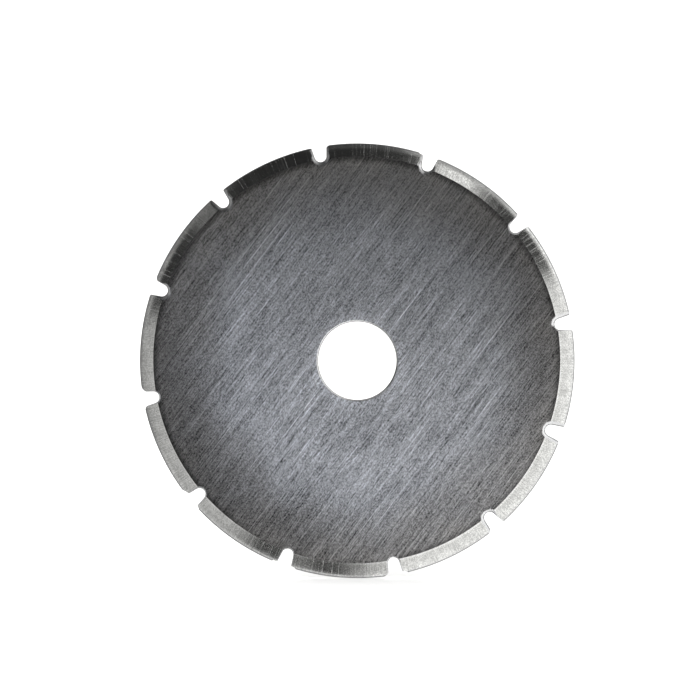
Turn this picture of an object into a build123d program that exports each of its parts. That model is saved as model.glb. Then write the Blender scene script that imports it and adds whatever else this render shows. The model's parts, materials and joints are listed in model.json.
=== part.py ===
from build123d import *

import os
from math import cos, radians, sin

# A perforating blade for a rotary cutter: one thin steel disc with a centre arbor hole, a bevel
# ground on both faces and notches through the cutting edge that leave uncut ties in the cloth.
#
# Frame: the arbor axis is Y and the disc stands in the XZ plane, +Z up. The origin is the centre
# of the arbor hole at half thickness. Lengths are in millimetres and angles in degrees.

# Disc
BLADE_DIAMETER = 45.0         # cutting circle, a standard size of rotary blade
ARBOR_DIAMETER = 8.0          # axle bolt that the blade turns on
ARBOR_CLEARANCE = 0.10        # on the diameter, so that the blade turns freely on the axle
THICKNESS = 0.30              # rolled strip

# Cutting edge: a wide primary bevel and a narrow honed one, the same on both faces
BEVEL_WIDTH = 1.45            # both bevels together, measured along the radius
HONE_WIDTH = 0.28             # honed bevel alone
HONE_THICKNESS = 0.10         # full thickness where the honed bevel starts
EDGE_THICKNESS = 0.01         # flat left on the cutting edge

# Notches: rounded root, flanks that open towards the rim
NOTCH_COUNT = 12
FIRST_NOTCH_ANGLE = 10.2      # from +X towards +Z
NOTCH_ROOT_RADIUS = 0.60
NOTCH_ROOT_DEPTH = 1.72       # from the cutting circle to the bottom of the root
NOTCH_FLANK_ANGLE = 9.0       # each flank, from the notch's centre line
NOTCH_OVERRUN = 0.50          # how far the punch reaches past the cutting circle

# Rolled lip: the punch draws the face down beside the notch's root
LIP_WIDTH = 0.35
LIP_DEPTH = 0.06

blade_radius = BLADE_DIAMETER / 2
bore_radius = (ARBOR_DIAMETER + ARBOR_CLEARANCE) / 2
half_thickness = THICKNESS / 2
bevel_start = blade_radius - BEVEL_WIDTH
hone_start = blade_radius - HONE_WIDTH
root_centre = blade_radius - NOTCH_ROOT_DEPTH + NOTCH_ROOT_RADIUS


def ground_disc():
    """The disc with its hole and bevels, turned about local Z."""
    upper = [
        (bore_radius, half_thickness),
        (bevel_start, half_thickness),
        (hone_start, HONE_THICKNESS / 2),
        (blade_radius, EDGE_THICKNESS / 2),
    ]
    lower = [(radius, -height) for radius, height in reversed(upper)]
    section = Plane.XZ * make_face(Polyline(*upper, *lower, close=True))
    return revolve(section, Axis.Z)


def notch_outline(growth=0.0):
    """The notch's plan on local X, its root arc and flanks moved outwards by growth."""
    root = NOTCH_ROOT_RADIUS + growth
    mouth = blade_radius + NOTCH_OVERRUN
    lean = radians(NOTCH_FLANK_ANGLE)
    # The flank leaves the root arc where the arc's tangent leans by the flank angle.
    tangent_x = root_centre - root * sin(lean)
    tangent_y = root * cos(lean)
    mouth_y = tangent_y + (mouth - tangent_x) * sin(lean) / cos(lean)
    root_arc = ThreePointArc((tangent_x, tangent_y), (root_centre - root, 0), (tangent_x, -tangent_y))
    flanks = Polyline((tangent_x, -tangent_y), (mouth, -mouth_y), (mouth, mouth_y), (tangent_x, tangent_y))
    return make_face(root_arc + flanks)


def notch_cutter():
    """Punch for one notch: a straight prism with a shallow flare where it enters each face."""
    prism = extrude(notch_outline(), THICKNESS, both=True)
    flare_bottom = Pos(0, 0, half_thickness - LIP_DEPTH) * notch_outline()
    flare_top = Pos(0, 0, half_thickness) * notch_outline(LIP_WIDTH)
    flare = loft([flare_bottom, flare_top])
    return prism + flare + mirror(flare, Plane.XY)


def make_blade():
    """The finished blade, standing in the XZ plane."""
    cutter = notch_cutter()
    spacing = 360 / NOTCH_COUNT
    angles = [FIRST_NOTCH_ANGLE + spacing * index for index in range(NOTCH_COUNT)]
    blade = ground_disc() - [Rot(0, 0, angle) * cutter for angle in angles]
    return Plane.XZ.location * blade


os.makedirs("parts", exist_ok=True)
export_step(make_blade(), "parts/blade.step")
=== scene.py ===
"""Looks of a 45 mm perforating blade for a rotary cutter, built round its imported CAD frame.

The blade is one piece of hardened steel strip. It stands in the XZ plane with its arbor hole along Y,
and the front face looks along -Y. Lengths are given in millimetres and turned to metres by MM.
Clock angles are in degrees from +X towards +Z.
"""

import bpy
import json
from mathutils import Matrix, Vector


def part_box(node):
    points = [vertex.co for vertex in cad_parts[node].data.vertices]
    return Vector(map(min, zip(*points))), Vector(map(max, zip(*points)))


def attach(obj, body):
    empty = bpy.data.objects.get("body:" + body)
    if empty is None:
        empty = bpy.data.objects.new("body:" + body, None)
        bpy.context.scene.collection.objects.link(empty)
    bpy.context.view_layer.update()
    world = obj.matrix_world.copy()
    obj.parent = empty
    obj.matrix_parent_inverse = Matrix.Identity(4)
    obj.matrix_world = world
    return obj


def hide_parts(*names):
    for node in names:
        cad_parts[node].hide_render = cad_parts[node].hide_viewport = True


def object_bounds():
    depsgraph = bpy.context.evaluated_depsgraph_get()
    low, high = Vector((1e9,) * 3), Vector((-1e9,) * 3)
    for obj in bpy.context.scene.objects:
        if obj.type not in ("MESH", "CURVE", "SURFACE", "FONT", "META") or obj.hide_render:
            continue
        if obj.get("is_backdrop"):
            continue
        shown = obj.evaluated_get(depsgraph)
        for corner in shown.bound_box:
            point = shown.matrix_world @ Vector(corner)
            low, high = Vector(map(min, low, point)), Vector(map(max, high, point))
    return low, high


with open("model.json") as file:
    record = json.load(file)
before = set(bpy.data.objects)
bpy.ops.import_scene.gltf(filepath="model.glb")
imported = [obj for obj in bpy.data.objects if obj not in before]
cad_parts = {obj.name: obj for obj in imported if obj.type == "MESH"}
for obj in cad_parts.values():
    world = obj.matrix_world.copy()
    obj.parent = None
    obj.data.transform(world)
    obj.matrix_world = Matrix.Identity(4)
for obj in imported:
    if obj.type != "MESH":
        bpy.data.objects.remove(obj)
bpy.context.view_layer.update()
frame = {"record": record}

import json
import logging
from dataclasses import dataclass
from enum import Enum
from math import asin, atan2, ceil, cos, hypot, pi, radians, sin
from typing import Any, ClassVar, Dict, Iterable, Mapping, Optional, Sequence, Tuple

import bpy
from mathutils import Vector, noise

MM = 0.001
WELD = 0.0002 * MM  # points closer than this are the same point
LOG = logging.getLogger("rotary_blade")

Colour = Tuple[float, float, float, float]
Pair = Tuple[float, float]
Tree = bpy.types.NodeTree
Node = bpy.types.Node
Socket = bpy.types.NodeSocket
Material = bpy.types.Material
Steps = Iterable[Sequence[Any]]

# Kinds of step, beside the Math node's own operations.
STEP_KINDS: Mapping[str, Tuple[str, Mapping[str, str]]] = {
    "RANGE": ("ShaderNodeMapRange", {}),
    "CHOOSE": ("GeometryNodeSwitch", {"input_type": "FLOAT"}),
    "ABOVE": ("FunctionNodeCompare", {"data_type": "FLOAT", "operation": "GREATER_THAN"}),
    "BELOW": ("FunctionNodeCompare", {"data_type": "FLOAT", "operation": "LESS_THAN"}),
}


# ----
# Node helpers


def linear(code: str) -> Colour:
    """Turns an sRGB hex colour into the linear colour that a shader takes.

    Args:
        code: Six hex digits, with or without a leading hash.

    Returns:
        Linear red, green, blue and an alpha of 1.
    """
    digits = code.lstrip("#")
    shares = [int(digits[i:i + 2], 16) / 255 for i in (0, 2, 4)]
    red, green, blue = (s / 12.92 if s <= 0.04045 else ((s + 0.055) / 1.055) ** 2.4 for s in shares)
    return red, green, blue, 1.0


def put(name: str, data: bpy.types.ID) -> bpy.types.Object:
    """Makes an object of a mesh or camera, and puts it in the scene."""
    made = bpy.data.objects.new(name, data)
    bpy.context.scene.collection.objects.link(made)
    return made


def bare(owner: bpy.types.ID) -> Tree:
    """Empties the node tree of a material or world, and gives it."""
    owner.use_nodes = True
    owner.node_tree.nodes.clear()
    return owner.node_tree


def socket_of(sockets: Iterable[Socket], key: Any) -> Socket:
    """Finds a socket by its place or name, passing over those that are switched off.

    Args:
        sockets: A node's inputs or outputs.
        key: The socket's name, or its place among those that are switched on.

    Returns:
        The socket.
    """
    shown = [s for s in sockets if s.enabled]
    return shown[key] if isinstance(key, int) else next(s for s in shown if s.name == key)


def add(tree: Tree, kind: str, inputs: Optional[Mapping] = None, **settings: Any) -> Node:
    """Adds one node with its settings, values and links.

    Args:
        tree: The tree that the node goes into.
        kind: The node's type.
        inputs: Socket name or place, and a value, a socket, a node whose first output is taken,
            or a list of those for a socket that takes several links.
        **settings: Properties of the node.

    Returns:
        The new node.
    """
    node = tree.nodes.new(kind)
    for name, value in settings.items():
        setattr(node, name, value)
    for key, value in (inputs or {}).items():
        target = socket_of(node.inputs, key)
        for item in value if isinstance(value, list) else [value]:
            if isinstance(item, Node):
                tree.links.new(socket_of(item.outputs, 0), target)
            elif isinstance(item, Socket):
                tree.links.new(item, target)
            else:
                target.default_value = item
    return node


def out(node: Node, key: Any) -> Socket:
    """Gives one of a node's outputs by its name or place."""
    return socket_of(node.outputs, key)


def reckon(tree: Tree, steps: Steps, known: Dict[str, Any]) -> None:
    """Adds a listing of steps, each of which may read the ones before it.

    Args:
        tree: The tree that the steps go into.
        steps: A name, an operation and its operands for each step. An operand is a number, the name of
            something that is known by then, or a further operation with its own operands.
        known: What the steps may read, by name. Each step is added to it.
    """
    def value(item: Any) -> Any:
        """Gives what an operand stands for, adding its node if it is an operation."""
        if not isinstance(item, tuple):
            return known[item] if isinstance(item, str) else item
        kind, settings = STEP_KINDS.get(item[0], ("ShaderNodeMath", {"operation": item[0]}))
        return out(add(tree, kind, dict(enumerate(map(value, item[1:]))), **settings), 0)

    for name, *step in steps:
        known[name] = value(tuple(step))


# ----
# Finishes


@dataclass(frozen=True)
class Finish:
    """What every steel finish on the blade shares: bare hardened steel, worked in its own way."""

    # The bump's strength and its depth in millimetres.
    bump: ClassVar[Pair] = (0.3, 0.003)
    noise_roughness: ClassVar[float] = 0.55

    name: str
    light: str
    roughness: float

    def start(self) -> Tuple[Material, Tree, Socket]:
        """Makes the empty material, and gives it with its tree and the place on the blade."""
        material = bpy.data.materials.new(self.name)
        tree = bare(material)
        return material, tree, out(add(tree, "ShaderNodeTexCoord"), "Object")

    def polar(self, tree: Tree, place: Socket) -> Tuple[Node, Socket]:
        """Gives the direction away from the arbor's axis, and the distance from it."""
        flat = add(tree, "ShaderNodeVectorMath", {0: place, 1: (1.0, 0.0, 1.0)}, operation="MULTIPLY")
        reach = add(tree, "ShaderNodeVectorMath", {0: flat}, operation="LENGTH")
        return add(tree, "ShaderNodeVectorMath", {0: flat}, operation="NORMALIZE"), out(reach, "Value")

    def surface(self, tree: Tree, relief: Any, inputs: Mapping) -> None:
        """Ends a tree in a metal surface.

        Args:
            tree: The material's tree.
            relief: What the bump follows.
            inputs: The colour, roughness and tangent that the finish has worked out.
        """
        strength, depth = self.bump
        bump = add(tree, "ShaderNodeBump", {"Strength": strength, "Distance": depth * MM, "Height": relief})
        shader = add(tree, "ShaderNodeBsdfPrincipled", {"Metallic": 1.0, "Normal": bump, **inputs})
        add(tree, "ShaderNodeOutputMaterial", {"Surface": shader})


@dataclass(frozen=True)
class Streak:
    """One layer of brushing: its marks' length and width in millimetres, their lean and strength."""

    length: float
    width: float
    lean: float
    gain: float
    detail: float = 1.0


@dataclass(frozen=True)
class BrushedFlat(Finish):
    """Rolled steel strip brushed in straight lines, before the disc was cut from it.

    The lines catch the light as fine streaks, and they spread a highlight across themselves. The steel is
    a little browner beside the bevel. Painted shade darkens it towards the rim and in a band just inside
    the bevel's shoulder, and a painted highlight brightens a ring round the hole.
    """

    radius: float
    bore: float
    shoulder: float
    stain: str = "#a9a7a5"
    anisotropy: float = 0.8
    brush_clock: float = 54.0
    cloud_size: float = 6.0
    cloud_gain: float = 0.5
    cloud_drift: float = 7.0
    # Shares of the radius between which painted shade darkens the steel, and between which it gets browner.
    darker: Pair = (0.50, 0.88)
    browner: Pair = (0.62, 0.94)
    # The painted rim shade is heaviest at the two ends of one diameter, and heavier at its far end.
    rim_shade_clock: float = 28.0
    stain_shade: float = 0.705
    rim_shade_ends: float = -0.24
    rim_shade_near_end: float = 0.10
    # Painted shade in a band just inside the shoulder: its width, the clock angle of its middle, its darkest
    # level, and its level where it fades out.
    shoulder_shade_width: float = 0.75
    shoulder_shade_clock: float = 75.0
    burn_shade: float = 0.40
    faded_shoulder_shade: float = 0.90
    # Cosines of the angle from the painted shoulder shade's middle: lightest at the first, darkest from the
    # second.
    shoulder_shade_fade: Pair = (-1.0, -0.84)
    # Painted highlight round the hole: its brightness at the hole and its width.
    bore_highlight: float = 1.24
    bore_highlight_width: float = 1.6
    cloud_detail: float = 3.0
    # Bright marks are smoother by the gloss, and dull ones rougher, over this range of marks.
    marks_range: Pair = (0.6, 1.4)
    gloss: float = 0.03

    # Brushing grit is about 0.03 mm. Its marks are drawn three times as wide so that they show.
    streaks: Tuple[Streak, ...] = (
        Streak(2.4, 0.075, 0.0, 1.60),
        Streak(8.0, 0.095, -1.5, 1.35),
        Streak(0.16, 0.12, 0.0, 1.75, 0.0),
        Streak(0.6, 0.10, 4.0, 0.8),
        Streak(3.0, 0.35, 3.0, 0.35),
        Streak(7.0, 1.2, 0.0, 0.35),
    )
    # Single scratches are the crests of a longer noise.
    scratch: Streak = Streak(7.0, 0.10, -1.0, 0.7, 0.0)
    scratch_crest: Pair = (0.70, 0.82)

    def brushing(self, tree: Tree, place: Socket) -> Any:
        """Lays the streaks and scratches.

        Args:
            tree: The material's tree.
            place: The place on the blade.

        Returns:
            A level round 1, higher on the bright marks.
        """
        known: Dict[str, Any] = {"marks": 1.0}
        for streak in (*self.streaks, self.scratch):
            turn = -radians(self.brush_clock + streak.lean)
            drawn_out = add(tree, "ShaderNodeMapping", {
                "Vector": place, "Rotation": (0.0, turn, 0.0),
                "Scale": (streak.length * MM, streak.width * MM, streak.width * MM)}, vector_type="TEXTURE")
            known["grain"] = add(tree, "ShaderNodeTexNoise", {
                "Vector": drawn_out, "Scale": 1.0, "Detail": streak.detail,
                "Roughness": self.noise_roughness})
            step = ("MULTIPLY_ADD", ("SUBTRACT", "grain", 0.5), streak.gain, "marks")
            if streak is self.scratch:
                step = ("ADD", "marks", ("RANGE", "grain", *self.scratch_crest, 0.0, streak.gain))
            reckon(tree, [("marks", *step)], known)
        return known["marks"]

    def tone(self, tree: Tree, place: Socket, marks: Any) -> Any:
        """Works out the steel's colour under its brushing, stain and burn.

        Args:
            tree: The material's tree.
            place: The place on the blade.
            marks: What brushing() gives.

        Returns:
            The colour.
        """
        outward, reach = self.polar(tree, place)
        known = {
            "marks": marks,
            "reach": reach,
            "cloud": add(tree, "ShaderNodeTexNoise", {
                "Vector": place, "Scale": 1 / (self.cloud_size * MM), "Detail": self.cloud_detail,
                "Roughness": self.noise_roughness}),
        }
        for name, clock in (("towards stain", self.rim_shade_clock), ("towards burn", self.shoulder_shade_clock)):
            ray = (cos(radians(clock)), 0.0, sin(radians(clock)))
            known[name] = out(add(tree, "ShaderNodeVectorMath", {0: outward, 1: ray},
                                  operation="DOT_PRODUCT"), "Value")
        dark_from, dark_to = (share * self.radius for share in self.darker)
        brown_from, brown_to = (share * self.radius for share in self.browner)
        bore_highlight_end = self.bore + self.bore_highlight_width * MM
        shoulder_shade_start = self.shoulder - self.shoulder_shade_width * MM
        reckon(tree, (
            ("drift", "SUBTRACT", "cloud", 0.5),
            ("clouds", "MULTIPLY_ADD", "drift", self.cloud_gain, 1.0),
            ("stained reach", "MULTIPLY_ADD", "drift", self.cloud_drift * MM, "reach"),
            # Painted shade: darker towards the rim, heaviest at the two ends of one diameter.
            ("stained", "RANGE", "stained reach", dark_from, dark_to, 0.0, 1.0),
            ("browned", "RANGE", "stained reach", brown_from, brown_to, 0.0, 1.0),
            ("stain shade", "MULTIPLY_ADD", ("MULTIPLY_ADD", "towards stain", self.rim_shade_ends,
                                             self.rim_shade_near_end), "towards stain", self.stain_shade),
            ("stain", "RANGE", "stained", 0.0, 1.0, 1.0, "stain shade"),
            # Painted shade in a band just inside the shoulder, fading out round the clock angle opposite its
            # middle.
            ("burn shade", "RANGE", "towards burn", *self.shoulder_shade_fade, self.faded_shoulder_shade, self.burn_shade),
            ("burn", "RANGE", "reach", shoulder_shade_start, self.shoulder, 1.0, "burn shade"),
            # Painted highlight: a brighter ring round the hole.
            ("shine", "RANGE", "reach", self.bore, bore_highlight_end, self.bore_highlight, 1.0),
            ("stained marks", "MULTIPLY", ("MULTIPLY", "marks", "clouds"), "stain"),
            ("level", "MULTIPLY", ("MULTIPLY", "stained marks", "burn"), "shine"),
        ), known)
        for name in ("stained", "burn shade", "burn", "shine"):
            known[name].node.interpolation_type = "SMOOTHSTEP"
        steel = add(tree, "ShaderNodeMix", {
            "Factor": known["browned"], "A": linear(self.light), "B": linear(self.stain)}, data_type="RGBA")
        return add(tree, "ShaderNodeVectorMath", {0: steel, 1: known["level"]}, operation="MULTIPLY")

    def build(self) -> Material:
        """Makes the material."""
        material, tree, place = self.start()
        marks = self.brushing(tree, place)
        dull, bright = self.marks_range
        rough = add(tree, "ShaderNodeMapRange", {
            "Value": marks, "From Min": dull, "From Max": bright,
            "To Min": self.roughness + self.gloss, "To Max": self.roughness - self.gloss})
        across = {"X": sin(radians(self.brush_clock)), "Z": -cos(radians(self.brush_clock))}
        self.surface(tree, marks, {
            "Base Color": self.tone(tree, place, marks), "Roughness": rough, "Anisotropic": self.anisotropy,
            "Tangent": add(tree, "ShaderNodeCombineXYZ", across)})
        return material


@dataclass(frozen=True)
class GroundBevel(Finish):
    """Steel ground on a fine wheel: bright, with hair lines that cross the bevel and a few dull patches.

    Its 400 grit leaves lines 0.02 mm wide. They are drawn five times as wide so that they show.
    """

    bump: ClassVar[Pair] = (0.35, 0.002)
    noise_roughness: ClassVar[float] = 0.6

    radius: float
    arris: float
    # A painted highlight: a brighter band of this width along the arris, at this brightness.
    arris_width: float = 0.13
    arris_highlight: float = 1.0
    line_width: float = 0.11
    grain_width: float = 0.13
    mottle_width: float = 0.9
    speck_width: float = 0.14
    # Dull patches begin at the first noise level and are full at the second.
    dull_crest: Pair = (0.55, 0.72)
    dullness: float = 0.23
    # How much of a dull patch follows the wheel's lines. The specks give the rest.
    line_share: float = 0.75
    line_gain: float = 0.54
    grain_gain: float = 0.98
    mottle_gain: float = 0.60
    # Dark texture is rougher by the first amount, and bright texture smoother by the second.
    texture_range: Pair = (0.7, 1.3)
    gloss: Pair = (0.04, 0.03)

    def build(self) -> Material:
        """Makes the material."""
        material, tree, place = self.start()
        outward, reach = self.polar(tree, place)
        # The direction from the axis changes along the edge and not across it, so noise on it
        # draws lines that run straight out to the edge.
        fan = add(tree, "ShaderNodeVectorMath", {0: outward, "Scale": self.radius / (self.line_width * MM)},
                  operation="SCALE")
        known = {"reach": reach}
        for name, vector, scale, detail in (
                ("lines", fan, 1.0, 1.0), ("grain", place, 1 / (self.grain_width * MM), 2.0),
                ("mottle", place, 1 / (self.mottle_width * MM), 3.0),
                ("specks", place, 1 / (self.speck_width * MM), 2.0)):
            known[name] = add(tree, "ShaderNodeTexNoise", {
                "Vector": vector, "Scale": scale, "Detail": detail, "Roughness": self.noise_roughness})
        total = (self.line_gain + self.grain_gain + self.mottle_gain) / 2
        arris_end = self.arris + self.arris_width * MM
        rougher, smoother = self.gloss
        reckon(tree, (
            ("lined", "MULTIPLY_ADD", "lines", self.line_gain, 1.0 - total),
            ("grained", "MULTIPLY_ADD", "grain", self.grain_gain, "lined"),
            ("texture", "MULTIPLY_ADD", "mottle", self.mottle_gain, "grained"),
            # Painted highlight along the bevel's inner edge.
            ("arris", "RANGE", "reach", self.arris, arris_end, self.arris_highlight, 1.0),
            ("level", "MULTIPLY", "texture", "arris"),
            # Dull patches along the lines scatter light from all round, so they show on a dark bevel too.
            ("patches", "MULTIPLY_ADD", "lines", self.line_share,
             ("MULTIPLY", "specks", 1.0 - self.line_share)),
            ("dull", "RANGE", "patches", *self.dull_crest, 0.0, self.dullness),
            ("smooth", "RANGE", "texture", *self.texture_range,
             self.roughness + rougher, self.roughness - smoother),
            ("rough", "ADD", "smooth", "dull"),
        ), known)
        colour = add(tree, "ShaderNodeVectorMath", {0: linear(self.light)[:3], 1: known["level"]},
                     operation="MULTIPLY")
        self.surface(tree, known["texture"], {"Base Color": colour, "Roughness": known["rough"]})
        return material


@dataclass(frozen=True)
class PunchedSteel(Finish):
    """Steel drawn down or sheared through by a punch: burnished smooth, then torn a little."""

    dark: str
    tear_width: float = 0.05
    # Torn spots are smoother by the first amount or rougher by the second, over this range of noise.
    tear_range: Pair = (0.3, 0.7)
    gloss: Pair = (0.04, 0.06)

    def build(self) -> Material:
        """Makes the material."""
        material, tree, place = self.start()
        tears = add(tree, "ShaderNodeTexNoise", {
            "Vector": place, "Scale": 1 / (self.tear_width * MM), "Detail": 2.0,
            "Roughness": self.noise_roughness})
        low, high = self.tear_range
        smoother, rougher = self.gloss
        colour = add(tree, "ShaderNodeMix", {
            "Factor": tears, "A": linear(self.dark), "B": linear(self.light)}, data_type="RGBA")
        rough = add(tree, "ShaderNodeMapRange", {
            "Value": tears, "From Min": low, "From Max": high,
            "To Min": self.roughness - smoother, "To Max": self.roughness + rougher})
        self.surface(tree, tears, {"Base Color": colour, "Roughness": rough})
        return material


# ----
# The blade


class Side(Enum):
    """The two corners of a notch's mouth, by the way the clock angle runs."""

    BEFORE = -1
    AFTER = 1


@dataclass(frozen=True)
class Chip:
    """A corner of a tooth that has worn round or broken away, by its notch and side.

    Width runs along the rim and depth inwards, in millimetres. A power above 1 rounds the corner and
    one below 1 takes a step out of it. Raggedness is the share of the depth that comes and goes.
    """

    notch: int
    side: Side
    width: float
    depth: float
    power: float = 2.0
    raggedness: float = 0.2


@dataclass(frozen=True)
class Band:
    """A ring of mesh rows: its two radii in metres, its rows, and how they crowd to the inside."""

    inner: float
    outer: float
    rows: int
    crowding: float


# Steps on the flat grid, for a point whose radius is ring and whose place across the tooth is x.
TOOTH_STEPS: Steps = (
    # Half angle that the notch takes up at this radius: its round root, then its straight flank.
    ("rise", "MAXIMUM", ("SUBTRACT", "ring", "Root Bottom"), 0.0),
    ("span", "MAXIMUM", ("SUBTRACT", ("ADD", "Root Centre", "Root Radius"), "ring"), 0.0),
    ("sine squared", "DIVIDE", ("MULTIPLY", "rise", "span"),
     ("MULTIPLY", ("MULTIPLY", "ring", "Root Centre"), 4.0)),
    ("root half", "MULTIPLY", ("ARCSINE", ("SQRT", "sine squared")), 2.0),
    ("flank half", "ADD", ("ARCSINE", ("DIVIDE", "Flank Offset", "ring")), "Flank Angle"),
    ("notch half", "CHOOSE", ("ABOVE", "ring", "Flank Start"), "root half", "flank half"),
    # Columns: even steps across the tooth, drawn in towards the notches by squaring.
    ("column", "MULTIPLY", "x", -2.0),
    ("inset", "POWER", ("SUBTRACT", 1.0, ("ABSOLUTE", "column")), 2.0),
    ("across", "MULTIPLY", ("SIGN", "column"), ("SUBTRACT", 1.0, "inset")),
    ("half step", "MULTIPLY", "Step", 0.5),
    ("angle", "MULTIPLY", "across", ("SUBTRACT", "half step", "notch half")),
    # Distance from the nearest notch's outline, measured about the centre of its root.
    ("from notch", "SUBTRACT", "half step", ("ABSOLUTE", "angle")),
    ("aside", "MULTIPLY", "ring", ("SINE", "from notch")),
    ("outward", "SUBTRACT", ("MULTIPLY", "ring", ("COSINE", "from notch")), "Root Centre"),
    ("lean sine", "SINE", "Flank Angle"),
    ("lean cosine", "COSINE", "Flank Angle"),
    ("along flank", "MULTIPLY_ADD", "outward", "lean cosine", ("MULTIPLY", "aside", "lean sine")),
    ("off flank", "SUBTRACT", ("MULTIPLY", "aside", "lean cosine"), ("MULTIPLY", "outward", "lean sine")),
    ("off root", "SQRT", ("MULTIPLY_ADD", "outward", "outward", ("MULTIPLY", "aside", "aside"))),
    ("nearest", "CHOOSE", ("ABOVE", "along flank", 0.0), "off root", "off flank"),
    ("clear of notch", "MAXIMUM", ("SUBTRACT", "nearest", "Root Radius"), 0.0),
    # Half thickness: flat, rounded shoulder, bevel, its belly, honed bevel, burnished edge.
    ("shoulder width", "MULTIPLY", "Shoulder", 2.0),
    ("into", "RANGE", "ring", ("SUBTRACT", "Bevel Start", "shoulder width"), "Bevel Start", 0.0,
     "shoulder width"),
    ("rounding", "DIVIDE", ("MULTIPLY", "into", "into"), ("MULTIPLY", "shoulder width", 2.0)),
    ("past start", "RANGE", "ring", "Bevel Start", "Hone Start", 0.0,
     ("SUBTRACT", "Hone Start", "Bevel Start")),
    ("bevel drop", "MULTIPLY", ("ADD", "rounding", "past start"), "Bevel Slope"),
    ("belly", "RANGE", "ring", "Belly Start", "Hone Start", 0.0, 1.0),
    ("belly drop", "MULTIPLY", ("MULTIPLY", "belly", "belly"), "Belly Drop"),
    ("hone drop", "RANGE", "ring", "Hone Start", "Burnish Start", 0.0, "Hone Drop"),
    ("burnish drop", "RANGE", "ring", "Burnish Start", "Radius", 0.0, "Burnish Drop"),
    ("under bevel", "SUBTRACT", "Half Thickness", "bevel drop"),
    ("under hone", "SUBTRACT", ("SUBTRACT", "under bevel", "belly drop"), "hone drop"),
    ("height", "SUBTRACT", "under hone", "burnish drop"),
    ("point x", "MULTIPLY", "ring", ("COSINE", "angle")),
    ("point y", "MULTIPLY", "ring", ("SINE", "angle")),
    # The outline that gets a wall.
    ("in notch", "ABOVE", "ring", "Root Bottom"),
    ("in bore", "BELOW", "ring", ("ADD", "Bore", WELD)),
    # How far round each tooth goes.
    ("turn", "MULTIPLY_ADD", "index", "Step", ("ADD", "First Notch", "half step")),
)

# Steps on the whole disc, to find the nearest notch.
NOTCH_STEPS: Steps = (
    ("clock", "ARCTAN2", "y", "x"),
    ("turned", "DIVIDE", ("SUBTRACT", "clock", "First Notch"), "Step"),
    ("notch", "ROUND", "turned"),
    ("number", "FLOORED_MODULO", "notch", "Notch Count"),
    ("past centre", "MULTIPLY", ("MULTIPLY", ("SUBTRACT", "turned", "notch"), "Step"), "ring"),
)

# How the lips run, as shares unless millimetres are named.
SIDE_BLEND = 0.3  # of the root's radius each way, over which one side's lip turns into the other's
FLANK_SHARES = (0.75, 1.2)  # of lip at the root, from which it climbs the flank and where it is whole
FLANK_FADE = (-0.2 * MM, 0.4 * MM)  # past the root, over which the flank's own lip takes over
LEAST_WIDTH = 0.25  # of the lip's width, added to its share of depth
LIP_CURVE = 1.5
LIP_ROOM = 0.8  # of the half thickness, which a lip never goes beyond
LIP_FINISH_END = 0.95  # of the way across a lip
TEAR_FINISH_END = 0.29
LEAD = 1.3  # of the lip's width, below the root, where mesh rows come closer and the run-out begins

# Steps on the whole disc, where the nearest notch's share of lip on each side is known.
DISC_STEPS: Steps = (
    # Lips: the punch draws the steel down round the hole and beside each notch, most at its root.
    ("root share", "RANGE", "past centre", ("MULTIPLY", "Root Radius", -SIDE_BLEND),
     ("MULTIPLY", "Root Radius", SIDE_BLEND), "share before", "share after"),
    ("flank share", "MULTIPLY", "root share", ("RANGE", "root share", *FLANK_SHARES, 0.0, 1.0)),
    ("lip share", "RANGE", "flank", *FLANK_FADE, "root share", "flank share"),
    ("lip width", "MULTIPLY", "Lip Width", ("MINIMUM", ("ADD", "lip share", LEAST_WIDTH), 1.0)),
    ("nearness", "RANGE", "clear", 0.0, "lip width", 1.0, 0.0),
    ("lip depth", "MINIMUM", ("MULTIPLY", "Lip Depth", "lip share"),
     ("MULTIPLY", ("ABSOLUTE", "z"), LIP_ROOM)),
    ("notch lip", "MULTIPLY", ("POWER", "nearness", LIP_CURVE), "lip depth"),
    ("bore lip end", "ADD", "Bore", "Bore Lip Width"),
    ("bore nearness", "RANGE", "ring", "Bore", "bore lip end", 1.0, 0.0),
    ("lips", "MULTIPLY_ADD", ("POWER", "bore nearness", LIP_CURVE), "Bore Lip Depth", "notch lip"),
    ("move z", "MULTIPLY", ("MULTIPLY", ("SIGN", "z"), -1.0), "lips"),
    ("lip part", "DIVIDE", "clear", "lip width"),
    # Run-out: the blade turned a little off centre as it was ground, so one side's bevel is wider.
    ("rising", "RANGE", "ring", "Lead Start", "Root Bottom", 0.0, 1.0),
    ("falling", "RANGE", "ring", "Bevel Start", "Hone Start", 1.0, 0.0),
    ("narrowness", "COSINE", ("SUBTRACT", "clock", "Narrow Side")),
    ("shift", "MULTIPLY", ("MULTIPLY", "narrowness", "Run Out"), ("MULTIPLY", "rising", "falling")),
    ("move x", "MULTIPLY", "shift", ("COSINE", "clock")),
    ("move y", "MULTIPLY", "shift", ("SINE", "clock")),
    # Where each finish begins. Each goes over the one before it.
    ("on bevel", "ABOVE", "ring", "Bevel Start"),
    ("on hone", "ABOVE", "ring", "Hone Start"),
    ("on edge", "ABOVE", "ring", "Burnish Start"),
    ("on lip", "BELOW", "lip", LIP_FINISH_END),
    ("on bore lip", "BELOW", "ring", "bore lip end"),
    ("on tear", "BELOW", "lip", TEAR_FINISH_END),
)


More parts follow.
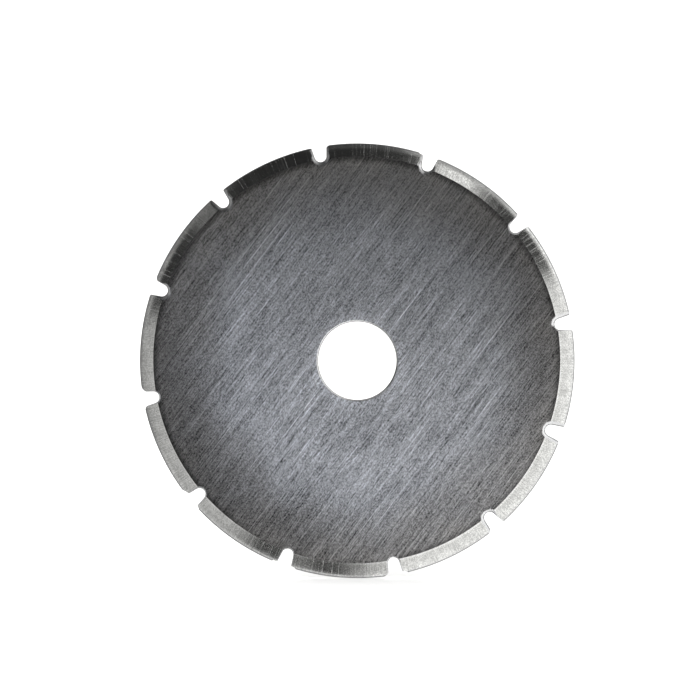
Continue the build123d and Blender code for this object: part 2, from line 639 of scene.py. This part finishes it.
@dataclass
class Blade:
    """The notched blade, grown by Geometry Nodes from its sizes. Sizes are in millimetres."""

    notch_count: int = 12
    first_notch: float = 10.2
    bevel_width: float = 1.45
    run_out: float = 0.12
    narrow_side: float = 118.0
    shoulder_rounding: float = 0.09
    belly_width: float = 0.60
    belly_drop: float = 0.012
    hone_width: float = 0.28
    hone_height: float = 0.048
    burnish_width: float = 0.10
    burnish_height: float = 0.018
    edge_height: float = 0.003
    root_radius: float = 0.60
    root_depth: float = 1.72
    flank_angle: float = 9.0
    lip_width: float = 0.38
    lip_depth: float = 0.075
    bore_lip_width: float = 0.16
    bore_lip_depth: float = 0.085
    columns: int = 56
    near_row: float = 0.075
    far_row: float = 1.6
    fewest_rows: int = 3
    crisp_angle: float = 30.0
    # Share of the lip before and after each notch. The punch wore unevenly.
    lip_shares: Tuple[Pair, ...] = (
        (0.15, 1.15), (0.30, 0.25), (0.45, 0.95), (1.00, 0.95), (0.95, 1.05), (0.35, 0.75),
        (0.12, 0.15), (0.20, 0.10), (0.10, 0.10), (0.10, 0.12), (1.05, 0.60), (1.15, 1.10),
    )
    worn: Chip = Chip(-1, Side.AFTER, 0.18, 0.09)
    chips: Tuple[Chip, ...] = (
        Chip(2, Side.AFTER, 0.55, 0.18, 0.8, 0.9),
        Chip(3, Side.BEFORE, 0.35, 0.18),
        Chip(5, Side.BEFORE, 0.40, 0.24),
        Chip(6, Side.BEFORE, 0.60, 0.34),
        Chip(6, Side.AFTER, 0.35, 0.20),
        Chip(7, Side.BEFORE, 0.75, 0.36, 1.3, 0.4),
        Chip(7, Side.AFTER, 0.35, 0.18, 0.6, 0.4),
        Chip(8, Side.BEFORE, 0.45, 0.17, 0.2, 0.5),
        Chip(8, Side.AFTER, 0.50, 0.17, 0.2, 0.5),
        Chip(9, Side.BEFORE, 0.40, 0.24, 1.2, 0.5),
        Chip(9, Side.AFTER, 0.50, 0.27, 0.35, 0.4),
        Chip(10, Side.BEFORE, 0.35, 0.20),
    )
    # Size of the breaks along a ragged corner.
    tear_size: float = 0.16

    def __post_init__(self) -> None:
        """Takes the disc's own sizes from the frame, in metres."""
        low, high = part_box("blade")
        self.radius: float = (high.x - low.x) / 2
        self.half: float = (high.y - low.y) / 2
        bore = next(m for m in frame["record"]["mounts"] if m["name"] == "arbor_hole")
        self.bore: float = bore["dims"]["r_mm"] * MM

    def sizes(self) -> Mapping[str, float]:
        """Works out every size that the tree takes.

        Returns:
            Socket name and value, in metres and radians.
        """
        centre = self.radius - (self.root_depth - self.root_radius) * MM
        root, lean = self.root_radius * MM, radians(self.flank_angle)
        start = self.radius - self.bevel_width * MM
        hone = self.radius - self.hone_width * MM
        return {
            "Step": 2 * pi / self.notch_count,
            "First Notch": radians(self.first_notch),
            "Radius": self.radius,
            "Bore": self.bore,
            "Half Thickness": self.half,
            "Bevel Start": start,
            "Bevel Slope": ((self.half - (self.hone_height + self.belly_drop) * MM)
                            / (hone - start + self.shoulder_rounding * MM)),
            "Narrow Side": radians(self.narrow_side),
            "Belly Start": hone - self.belly_width * MM,
            "Shoulder": self.shoulder_rounding * MM,
            "Hone Start": hone,
            "Hone Drop": (self.hone_height - self.burnish_height) * MM,
            "Burnish Start": self.radius - self.burnish_width * MM,
            "Burnish Drop": (self.burnish_height - self.edge_height) * MM,
            "Root Centre": centre,
            "Root Bottom": centre - root,
            "Root Radius": root,
            "Lead Start": centre - root - LEAD * self.lip_width * MM,
            "Flank Angle": lean,
            "Flank Offset": root - centre * sin(lean),
            "Flank Start": hypot(root * cos(lean), centre - root * sin(lean)),
            **{name: getattr(self, name.replace(" ", "_").lower()) * MM for name in (
                "Run Out", "Belly Drop", "Lip Width", "Lip Depth", "Bore Lip Width", "Bore Lip Depth")},
        }

    def bands(self) -> Sequence[Band]:
        """Spaces the mesh rows from the hole to the edge, close together where the shape bends.

        Returns:
            The bands, from the inside out.
        """
        sizes = self.sizes()
        lip_end = sizes["Bore"] + sizes["Bore Lip Width"]
        # A narrow flat ring past the lip, so that the shading doesn't spread over the wide rows.
        flat_start = lip_end + sizes["Bore Lip Width"]
        shoulder_start = sizes["Bevel Start"] - 2 * sizes["Shoulder"]
        marks = sorted({lip_end, flat_start, shoulder_start, *(sizes[name] for name in (
            "Bore", "Lead Start", "Root Bottom", "Bevel Start", "Flank Start", "Belly Start", "Hone Start",
            "Burnish Start", "Radius"))})
        bands = []
        for inner, outer in zip(marks, marks[1:]):
            row = self.far_row if flat_start <= inner < sizes["Lead Start"] else self.near_row
            rows = max(self.fewest_rows, ceil((outer - inner) / (row * MM)))
            bands.append(Band(inner, outer, rows, crowding=2.0 if inner == sizes["Root Bottom"] else 1.0))
        return bands

    def tree(self, finishes: Mapping[str, Material]) -> Tree:
        """Builds the tree that grows one tooth and repeats it round the axis.

        Args:
            finishes: Material for each finish socket.

        Returns:
            The Geometry Nodes tree, with a named input for each size and finish.
        """
        tree = bpy.data.node_groups.new("notched_blade", "GeometryNodeTree")
        tree.interface.new_socket("Geometry", in_out="OUTPUT", socket_type="NodeSocketGeometry")
        kinds = {**dict.fromkeys(self.sizes(), "Float"), "Notch Count": "Int",
                 **dict.fromkeys(finishes, "Material")}
        for name, kind in kinds.items():
            tree.interface.new_socket(name, in_out="INPUT", socket_type=f"NodeSocket{kind}")
        given = tree.nodes.new("NodeGroupInput")
        known: Dict[str, Any] = {socket.name: socket for socket in given.outputs if socket.name}
        place = add(tree, "ShaderNodeSeparateXYZ", {0: add(tree, "GeometryNodeInputPosition")})
        known.update(x=out(place, "X"), y=out(place, "Y"), z=out(place, "Z"),
                     index=add(tree, "GeometryNodeInputIndex"))
        for name in ("ring", "clear", "flank", "lip"):
            known[name] = add(tree, "GeometryNodeInputNamedAttribute", {"Name": name}, data_type="FLOAT")
        reckon(tree, TOOTH_STEPS, known)
        # One tooth goes between each two notches. They are welded into a disc, lying in XY.
        teeth = add(tree, "GeometryNodeInstanceOnPoints", {
            "Points": add(tree, "GeometryNodePoints", {"Count": known["Notch Count"]}),
            "Instance": self.tooth(tree, known),
            "Rotation": add(tree, "ShaderNodeCombineXYZ", {"Z": known["turn"]})})
        disc = add(tree, "GeometryNodeRealizeInstances", {"Geometry": teeth})
        disc = add(tree, "GeometryNodeMergeByDistance", {"Geometry": disc, "Distance": WELD})
        disc = self.draw_lips(tree, known, disc)
        disc = self.dress(tree, known, disc)
        add(tree, "NodeGroupOutput", {"Geometry": disc})
        return tree

    def tooth(self, tree: Tree, known: Mapping[str, Any]) -> Node:
        """Grows the blade between two notches, as a closed shell but for its two sides at the next teeth.

        Args:
            tree: The tree.
            known: The steps' results by name.

        Returns:
            The node that gives the tooth, lying in XY with its middle on +X.
        """
        rings = []
        for band in self.bands():
            grid = add(tree, "GeometryNodeMeshGrid", {
                "Size X": 1.0, "Size Y": 1.0, "Vertices X": self.columns + 1, "Vertices Y": band.rows + 1})
            row = dict(known)
            share = ("POWER", ("ADD", "y", 0.5), band.crowding)
            reckon(tree, [("radius", "RANGE", share, 0.0, 1.0, band.inner, band.outer)], row)
            rings.append(add(tree, "GeometryNodeStoreNamedAttribute", {
                "Geometry": grid, "Name": "ring", "Value": row["radius"]}, data_type="FLOAT", domain="POINT"))
        sheet = add(tree, "GeometryNodeJoinGeometry", {"Geometry": rings})
        for name, value in (("clear", "clear of notch"), ("flank", "along flank")):
            sheet = add(tree, "GeometryNodeStoreNamedAttribute", {
                "Geometry": sheet, "Name": name, "Value": known[value]}, data_type="FLOAT", domain="POINT")
        point = add(tree, "ShaderNodeCombineXYZ", {
            "X": known["point x"], "Y": known["point y"], "Z": known["height"]})
        front = add(tree, "GeometryNodeSetPosition", {"Geometry": sheet, "Position": point})
        front = add(tree, "GeometryNodeMergeByDistance", {"Geometry": front, "Distance": WELD})

        # Walls: the hole, the notches and the edge, from the front sheet to its mirror image.
        neighbours = add(tree, "GeometryNodeInputMeshEdgeNeighbors")
        outline = add(tree, "FunctionNodeCompare", {"A": out(neighbours, "Face Count"), "B": 1},
                      data_type="INT", operation="EQUAL")
        open_side = add(tree, "FunctionNodeBooleanMath", {0: known["in notch"], 1: known["in bore"]},
                        operation="OR")
        walled = add(tree, "FunctionNodeBooleanMath", {0: outline, 1: open_side}, operation="AND")
        walls = add(tree, "GeometryNodeExtrudeMesh", {
            "Mesh": front, "Selection": walled, "Offset Scale": 0.0}, mode="EDGES")
        mirrored = add(tree, "ShaderNodeVectorMath", {
            0: add(tree, "GeometryNodeInputPosition"), 1: (1.0, 1.0, -1.0)}, operation="MULTIPLY")
        shell = add(tree, "GeometryNodeSetPosition", {
            "Geometry": out(walls, "Mesh"), "Selection": out(walls, "Top"), "Position": mirrored})
        shell = add(tree, "GeometryNodeStoreNamedAttribute", {
            "Geometry": shell, "Name": "wall", "Value": out(walls, "Side")},
            data_type="BOOLEAN", domain="FACE")
        back = add(tree, "GeometryNodeSetPosition", {"Geometry": front, "Position": mirrored})
        back = add(tree, "GeometryNodeFlipFaces", {"Mesh": back})
        return add(tree, "GeometryNodeJoinGeometry", {"Geometry": [shell, back]})

    def draw_lips(self, tree: Tree, known: Dict[str, Any], disc: Node) -> Node:
        """Draws down the punched lips, moves the bevel by its run-out, and stands the disc up.

        Args:
            tree: The tree.
            known: The steps' results by name, to which more are added.
            disc: The node that gives the disc.

        Returns:
            The node that gives the disc, in the XZ plane with its front face towards -Y.
        """
        reckon(tree, NOTCH_STEPS, known)
        for side, name in enumerate(("share before", "share after")):
            share = add(tree, "GeometryNodeIndexSwitch", data_type="FLOAT")
            while len(share.index_switch_items) < self.notch_count:
                share.index_switch_items.new()
            tree.links.new(known["number"], share.inputs[0])
            for target, pair in zip(share.inputs[1:], self.lip_shares):
                target.default_value = pair[side]
            known[name] = share
        reckon(tree, DISC_STEPS, known)
        disc = add(tree, "GeometryNodeStoreNamedAttribute", {
            "Geometry": disc, "Name": "lip", "Value": known["lip part"]}, data_type="FLOAT", domain="POINT")
        move = add(tree, "ShaderNodeCombineXYZ", {
            "X": known["move x"], "Y": known["move y"], "Z": known["move z"]})
        disc = add(tree, "GeometryNodeSetPosition", {"Geometry": disc, "Offset": move})
        return add(tree, "GeometryNodeTransform", {"Geometry": disc, "Rotation": (pi / 2, 0.0, 0.0)})

    def dress(self, tree: Tree, known: Mapping[str, Any], disc: Node) -> Node:
        """Shades the disc smooth but for the lines where the honed bevel and the burnished edge begin, and
        gives it its finishes.

        Args:
            tree: The tree.
            known: The steps' results by name.
            disc: The node that gives the disc.

        Returns:
            The node that gives the finished disc.
        """
        disc = add(tree, "GeometryNodeSetShadeSmooth", {
            "Geometry": disc, "Shade Smooth": True}, domain="FACE")
        for start in ("Hone Start", "Burnish Start"):
            line = add(tree, "FunctionNodeCompare", {"A": known["ring"], "B": known[start], "Epsilon": WELD},
                       data_type="FLOAT", operation="EQUAL")
            disc = add(tree, "GeometryNodeSetShadeSmooth", {
                "Geometry": disc, "Selection": line, "Shade Smooth": False}, domain="EDGE")
        on_wall = add(tree, "GeometryNodeInputNamedAttribute", {"Name": "wall"}, data_type="BOOLEAN")
        for name, faces in (
                ("Flat Finish", True), ("Bevel Finish", known["on bevel"]), ("Hone Finish", known["on hone"]),
                ("Edge Finish", known["on edge"]), ("Lip Finish", known["on lip"]),
                ("Lip Finish", known["on bore lip"]), ("Tear Finish", known["on tear"]),
                ("Wall Finish", on_wall)):
            disc = add(tree, "GeometryNodeSetMaterial", {
                "Geometry": disc, "Selection": faces, "Material": known[name]})
        return disc

    def finishes(self) -> Mapping[str, Material]:
        """Makes the finishes.

        Returns:
            Material for each finish socket of the tree.
        """
        sizes = self.sizes()
        start, hone, radius = sizes["Bevel Start"], sizes["Hone Start"], self.radius
        made = {
            "Flat Finish": BrushedFlat("brushed_tool_steel", "#acaeb3", 0.32, radius, self.bore, start),
            "Bevel Finish": GroundBevel("ground_bevel_steel", "#e2e2df", 0.10, radius, start,
                                        arris_highlight=1.25),
            "Hone Finish": GroundBevel("honed_steel", "#dcdcda", 0.12, radius, hone),
            "Edge Finish": PunchedSteel("burnished_edge_steel", "#a8a8a8", 0.30, "#8a8a8a"),
            "Lip Finish": PunchedSteel("punched_lip_steel", "#f0f0f0", 0.20, "#dcdcdc"),
            "Tear Finish": PunchedSteel("torn_lip_steel", "#a8a8a8", 0.30, "#7c7c7c"),
            "Wall Finish": PunchedSteel("sheared_wall_steel", "#9a9a9b", 0.45, "#6f6f71"),
        }
        return {name: finish.build() for name, finish in made.items()}

    def build(self) -> bpy.types.Object:
        """Runs the tree and keeps its result as a plain mesh.

        Returns:
            The blade's object, at the origin.
        """
        finishes = self.finishes()
        tree = self.tree(finishes)
        seed = put("blade_seed", bpy.data.meshes.new("blade_seed"))
        modifier = seed.modifiers.new("notched_blade", "NODES")
        modifier.node_group = tree
        values = {**self.sizes(), "Notch Count": self.notch_count, **finishes}
        for item in tree.interface.items_tree:
            if item.in_out == "INPUT":
                modifier[item.identifier] = values[item.name]
        bpy.context.view_layer.update()
        grown = bpy.data.meshes.new_from_object(seed.evaluated_get(bpy.context.evaluated_depsgraph_get()))
        seed.modifiers.remove(modifier)
        bpy.data.objects.remove(seed)
        if grown.materials[0] is None:
            grown.materials.pop(index=0)
        self.wear(grown)
        self.sharpen(grown)
        grown.name = "cutting_blade"
        return put("cutting_blade", grown)

    def wear(self, mesh: bpy.types.Mesh) -> None:
        """Takes away the corners of the teeth where they are worn or chipped.

        Args:
            mesh: The blade's mesh, which is changed.
        """
        sizes = self.sizes()
        mouth = asin(sizes["Flank Offset"] / self.radius) + sizes["Flank Angle"]
        chips = {(chip.notch, chip.side): chip for chip in self.chips}
        for vertex in mesh.vertices:
            x, y, z = vertex.co
            reach = hypot(x, z)
            turns = (atan2(z, x) - sizes["First Notch"]) / sizes["Step"]
            notch = round(turns)
            aside = (turns - notch) * sizes["Step"]
            chip = chips.get((notch % self.notch_count, Side.AFTER if aside > 0 else Side.BEFORE), self.worn)
            gap = (abs(aside) - mouth) * self.radius / MM
            nearness = min(1.0, max(0.0, 1.0 - gap / chip.width))
            tear = noise.noise(Vector((x, z, notch * MM)) / (self.tear_size * MM))
            loss = chip.depth * MM * nearness ** chip.power * (1.0 + chip.raggedness * tear)
            left = self.radius - loss
            if reach > left:
                vertex.co = (x * left / reach, y, z * left / reach)
        mesh.update()

    def sharpen(self, mesh: bpy.types.Mesh) -> None:
        """Marks the corners of the walls as crisp, beside the lines that are crisp already.

        Args:
            mesh: The blade's mesh, which is changed.
        """
        crisp = [edge.use_edge_sharp for edge in mesh.edges]
        mesh.set_sharp_from_angle(angle=radians(self.crisp_angle))
        for edge, was_crisp in zip(mesh.edges, crisp):
            edge.use_edge_sharp = edge.use_edge_sharp or was_crisp


# ----
# Studio


@dataclass(frozen=True)
class Panel:
    """One segment of the ring of soft lights round the lens, seen only when steel mirrors it.

    The clock angles are in degrees, the radii in millimetres from the arbor's axis. The glow is the
    panel's brightness along its inner side and the fade along its outer side, where 1 is paper white.
    """

    name: str
    start: float
    end: float
    inner: float
    outer: float
    glow: float
    fade: float
    tint: str = "#ffffff"


class Wing(Enum):
    """Which side of the blade a ring of panels stands on."""

    FRONT = -1
    BACK = 1


@dataclass
class Studio:
    """Pale floor and backdrop, soft light, a ring of light panels on each side, and the camera.

    Sizes are in millimetres. Seen from the camera, the flat face and its shoulder mirror the panels within
    90 mm of the axis, the bevel those out to 155 mm, the honed bevel those out to 330 mm, and the punched
    lips those beyond.
    """

    wall: float = 400.0
    panel_step: float = 4.0
    floor_reach: float = 900.0
    floor_bend: float = 250.0
    floor_height: float = 1200.0
    floor_steps: int = 16
    white: float = 1.7
    gloom: float = 0.02
    lens: float = 100.0
    sensor: float = 36.0
    # Share of the picture's width that the blade takes up, and how far it stands off the middle.
    blade_share: float = 0.6216
    offset_right: float = 0.0104
    offset_down: float = 0.0153
    panels: Tuple[Panel, ...] = (
        Panel("lens_upper", 15, 165, 0, 40, 0.55, 0.14),
        Panel("lens_lower", 165, 375, 0, 40, 0.69, 0.74),
        Panel("upper_glow", -15, 150, 40, 75, 0.04, 0.02),
        Panel("side_glow", 150, 222, 40, 70, 1.25, 0.70, "#dde8ff"),
        Panel("lower_glow", 238, 345, 40, 74, 2.45, 2.45),
        Panel("right", -81, 23, 90, 155, 0.80, 1.08),
        Panel("high_right", 55, 68, 90, 155, 1.20, 1.10),
        Panel("high_left", 132, 140, 90, 155, 0.24, 0.19),
        Panel("left", 168, 238, 90, 155, 0.68, 0.37),
        Panel("low_middle", 251, 257, 90, 155, 0.30, 0.30),
        Panel("low_left", 268, 274, 90, 155, 0.28, 0.42),
        Panel("lowest", 274, 279, 90, 155, 0.55, 0.70),
        Panel("outer_right", -88, 44, 155, 330, 1.00, 1.30),
        Panel("outer_high_right", 44, 76, 155, 330, 0.42, 0.60),
        Panel("outer_top", 76, 100, 155, 330, 0.07, 0.05),
        Panel("outer_high_left", 128, 150, 155, 330, 0.20, 0.26),
        Panel("outer_left", 150, 205, 155, 330, 0.42, 0.16),
        Panel("outer_low", 205, 270, 155, 330, 0.70, 0.58),
        Panel("far_right", -110, 75, 330, 700, 1.30, 1.30),
        Panel("far_high_left", 75, 138, 330, 560, 0.85, 0.75),
        Panel("far_left", 138, 250, 330, 560, 0.14, 0.10),
        Panel("side_fill", 175, 250, 560, 900, 0.70, 0.70),
    )

    def build(self) -> None:
        """Sets the whole studio round the blade."""
        self.floor()
        for wing in Wing:
            for panel in self.panels:
                self.hang(panel, wing)
        self.air()
        self.camera()

    def stage(self, name: str, verts: Sequence[Tuple[float, float, float]],
              shader: str, inputs: Mapping) -> bpy.types.Object:
        """Makes a strip of the set from pairs of points, in one material.

        Args:
            name: The strip's name.
            verts: Its points, two for each step along it.
            shader: The kind of its shader node.
            inputs: That node's inputs. The strength may be the name of an attribute.

        Returns:
            The strip's object.
        """
        faces = [(i, i + 1, i + 3, i + 2) for i in range(0, len(verts) - 2, 2)]
        mesh = bpy.data.meshes.new(name)
        mesh.from_pydata(verts, [], faces)
        for face in mesh.polygons:
            face.use_smooth = True
        material = bpy.data.materials.new(name)
        tree = bare(material)
        read = {key: out(add(tree, "ShaderNodeAttribute", attribute_name=value), "Fac")
                if isinstance(value, str) else value for key, value in inputs.items()}
        add(tree, "ShaderNodeOutputMaterial", {"Surface": add(tree, shader, read)})
        mesh.materials.append(material)
        strip = put(name, mesh)
        strip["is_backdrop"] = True
        LOG.info("%s: %d faces", name, len(faces))
        return strip

    def floor(self) -> None:
        """Lays the floor just under the blade's lowest point, curving up into a backdrop."""
        low, _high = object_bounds()
        reach, bend, height = self.floor_reach * MM, self.floor_bend * MM, self.floor_height * MM
        turns = [pi / 2 * i / self.floor_steps for i in range(self.floor_steps + 1)]
        curve = [(-reach, 0.0), *((reach - bend + bend * sin(a), bend - bend * cos(a)) for a in turns),
                 (reach, height)]
        floor = self.stage("pale_paper", [(x, y, low.z + z) for y, z in curve for x in (-reach, reach)],
                           "ShaderNodeBsdfPrincipled", {"Base Color": linear("#fbfbfa"), "Roughness": 0.9})
        floor.visible_glossy = False

    def hang(self, panel: Panel, wing: Wing) -> None:
        """Hangs one panel.

        Args:
            panel: Its size and place on the front wall.
            wing: The wall. The back wall is the front one as the blade sees it when turned round.
        """
        steps = max(2, round((panel.end - panel.start) / self.panel_step))
        clocks = [radians(panel.start + (panel.end - panel.start) * i / steps) for i in range(steps + 1)]
        verts = [(-wing.value * reach * MM * cos(clock), wing.value * self.wall * MM, reach * MM * sin(clock))
                 for clock in clocks for reach in (panel.inner, panel.outer)]
        strip = self.stage(f"{panel.name}_{wing.name.lower()}", verts, "ShaderNodeEmission",
                           {"Color": linear(panel.tint), "Strength": "glow"})
        level = strip.data.attributes.new("glow", "FLOAT", "POINT")
        level.data.foreach_set("value", [panel.glow, panel.fade] * len(clocks))
        for kind in ("camera", "diffuse", "shadow", "transmission", "volume_scatter"):
            setattr(strip, f"visible_{kind}", False)

    def air(self) -> None:
        """White light from all round for the floor, and a dim grey room for the steel to mirror."""
        world = bpy.data.worlds.new("studio")
        bpy.context.scene.world = world
        tree = bare(world)
        white, dim = (add(tree, "ShaderNodeBackground", {"Color": (1.0, 1.0, 1.0, 1.0), "Strength": strength})
                      for strength in (self.white, self.gloom))
        seen = out(add(tree, "ShaderNodeLightPath"), "Is Glossy Ray")
        both = add(tree, "ShaderNodeMixShader", {0: seen, 1: white, 2: dim})
        add(tree, "ShaderNodeOutputWorld", {"Surface": both})
        bpy.context.scene.view_settings.view_transform = "Standard"

    def camera(self) -> None:
        """Looks square at the front face along +Y, with the blade a little right of and below the middle."""
        low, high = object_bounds()
        data = bpy.data.cameras.new("camera")
        data.lens = self.lens
        data.sensor_width = self.sensor
        data.shift_x = -self.offset_right
        data.shift_y = self.offset_down
        data.clip_start, data.clip_end = 0.01, 10.0
        camera = put("camera", data)
        away = (high.x - low.x) / self.blade_share * self.lens / self.sensor
        camera.location = ((low.x + high.x) / 2, low.y - away, (low.z + high.z) / 2)
        camera.rotation_euler = (pi / 2, 0.0, 0.0)
        bpy.context.scene.camera = camera


def main() -> None:
    """Builds the blade and the studio, in order."""
    logging.basicConfig(level=logging.INFO, format="%(name)s: %(message)s")
    blade = Blade().build()
    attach(blade, "root")
    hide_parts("blade")
    LOG.info("%s: %d faces", blade.name, len(blade.data.polygons))
    Studio().build()


if __name__ == "__main__":
    main()
